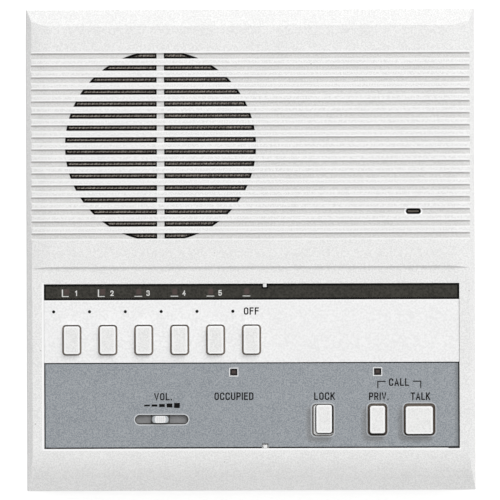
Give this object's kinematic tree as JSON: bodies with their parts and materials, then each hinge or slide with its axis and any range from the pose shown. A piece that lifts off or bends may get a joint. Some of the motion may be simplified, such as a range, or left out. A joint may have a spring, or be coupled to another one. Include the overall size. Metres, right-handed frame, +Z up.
{
  "type": "desk intercom",
  "caption": "Wedge-shaped desk intercom master station with speaker grille, station and talk keys, volume slider, lamps and a rear terminal bay.",
  "frame": {"origin": "under the middle of the case, on the desk", "axes": "+X to the user's right, +Y away from the user towards the speaker end, +Z up"},
  "size_m": [0.195, 0.2118, 0.0563],
  "materials": {
    "case_plastic": "fine spark-textured off-white moulding",
    "base_plastic": "fine spark-textured moulding",
    "smoked_window": "smoked transparent strip, semi-gloss",
    "card_plastic": "smooth white sheet",
    "control_paint": "matt printed grey",
    "key_plastic": "satin off-white",
    "knob_plastic": "gloss white",
    "bezel_plastic": "light grey",
    "lamp_plastic": "dark red lens",
    "white_plastic": "plain moulding",
    "black_plastic": "plain moulding",
    "steel": "zinc plated",
    "screw_steel": "yellow passivated",
    "board": "brown phenolic board",
    "speaker_cloth": "coarse dark acoustic cloth",
    "gasket": "pressed card",
    "cone_paper": "felted black paper",
    "ferrite": "ground ferrite",
    "capsule_metal": "pressed can",
    "rubber": "moulded",
    "lead_insulation": "wire insulation",
    "winding": "yellow tape over copper",
    "capacitor_sleeve": "shrink sleeve",
    "resistor_body": "coated",
    "aluminium": "extruded",
    "strap_plastic": "plain moulding",
    "shutter_plastic": "dark strip under the slide knob",
    "label": "blank satin plate"
  },
  "bodies": {
    "case": {"front_cover": "case_plastic", "rear_cover": "base_plastic", "lamp_window": "smoked_window", "name_card": "card_plastic", "control_plate": "control_paint", "status_bezels": "bezel_plastic", "status_lenses": "lamp_plastic", "station_lamps": "lamp_plastic", "status_lamps": "lamp_plastic", "lamp_housing": "white_plastic", "station_switch_bank": "black_plastic", "function_switches": "black_plastic", "volume_potentiometer": "black_plastic", "terminal_block": "black_plastic", "ribbon_connectors": "black_plastic", "transistors": "black_plastic", "amplifier_chip": "black_plastic", "switch_frame": "steel", "latch_spring": "steel", "speaker_basket": "steel", "speaker_pole_plates": "steel", "transformer_core": "steel", "speaker_clamps": "steel", "board_screws": "screw_steel", "clamp_screws": "screw_steel", "case_screws": "screw_steel", "terminal_screws": "screw_steel", "strap_screws": "screw_steel", "key_board": "board", "main_board": "board", "speaker_cloth": "speaker_cloth", "speaker_gasket": "gasket", "speaker_cone": "cone_paper", "speaker_dust_cap": "cone_paper", "speaker_magnet": "ferrite", "microphone_capsule": "capsule_metal", "microphone_boot": "rubber", "rubber_feet": "rubber", "speaker_leads": "lead_insulation", "microphone_leads": "lead_insulation", "ribbon_cable": "lead_insulation", "transformer_coil": "winding", "capacitors": "capacitor_sleeve", "resistors": "resistor_body", "heat_sink": "aluminium", "cable_strap": "strap_plastic", "rating_plate": "label"},
    "station_key_1": {"station_key_1": "key_plastic"},
    "station_key_2": {"station_key_2": "key_plastic"},
    "station_key_3": {"station_key_3": "key_plastic"},
    "station_key_4": {"station_key_4": "key_plastic"},
    "station_key_5": {"station_key_5": "key_plastic"},
    "off_key": {"off_key": "key_plastic"},
    "lock_key": {"lock_key": "key_plastic"},
    "private_key": {"private_key": "key_plastic"},
    "talk_key": {"talk_key": "key_plastic"},
    "volume_slider": {"volume_knob": "knob_plastic", "volume_shutter": "shutter_plastic"},
    "latch": {"latch_bar": "steel"}
  },
  "joints": [
    {"name": "station_key_1_press", "type": "slide", "parent": "case", "child": "station_key_1", "axis": [0, 0.0872, -0.9962], "range_m": [0, 0.0024], "stiffness_N_per_m": 400, "springref_m": -0.0015},
    {"name": "station_key_2_press", "type": "slide", "parent": "case", "child": "station_key_2", "axis": [0, 0.0872, -0.9962], "range_m": [0, 0.0024], "stiffness_N_per_m": 400, "springref_m": -0.0015},
    {"name": "station_key_3_press", "type": "slide", "parent": "case", "child": "station_key_3", "axis": [0, 0.0872, -0.9962], "range_m": [0, 0.0024], "stiffness_N_per_m": 400, "springref_m": -0.0015},
    {"name": "station_key_4_press", "type": "slide", "parent": "case", "child": "station_key_4", "axis": [0, 0.0872, -0.9962], "range_m": [0, 0.0024], "stiffness_N_per_m": 400, "springref_m": -0.0015},
    {"name": "station_key_5_press", "type": "slide", "parent": "case", "child": "station_key_5", "axis": [0, 0.0872, -0.9962], "range_m": [0, 0.0024], "stiffness_N_per_m": 400, "springref_m": -0.0015},
    {"name": "off_key_press", "type": "slide", "parent": "case", "child": "off_key", "axis": [0, 0.0872, -0.9962], "range_m": [0, 0.0024], "stiffness_N_per_m": 400, "springref_m": -0.0015},
    {"name": "lock_key_press", "type": "slide", "parent": "case", "child": "lock_key", "axis": [0, 0.0872, -0.9962], "range_m": [0, 0.0024], "stiffness_N_per_m": 400, "springref_m": -0.0015},
    {"name": "private_key_press", "type": "slide", "parent": "case", "child": "private_key", "axis": [0, 0.0872, -0.9962], "range_m": [0, 0.0024], "stiffness_N_per_m": 400, "springref_m": -0.0015},
    {"name": "talk_key_press", "type": "slide", "parent": "case", "child": "talk_key", "axis": [0, 0.0872, -0.9962], "range_m": [0, 0.0024], "stiffness_N_per_m": 400, "springref_m": -0.0015},
    {"name": "volume_slide", "type": "slide", "parent": "case", "child": "volume_slider", "axis": [1, 0, 0], "range_m": [-0.0069, 0.0081]},
    {"name": "latch_slide", "type": "slide", "parent": "case", "child": "latch", "axis": [1, 0, 0], "range_m": [0, 0.0012], "stiffness_N_per_m": 400, "springref_m": -0.001, "deforming": ["latch_spring"]}
  ]
}
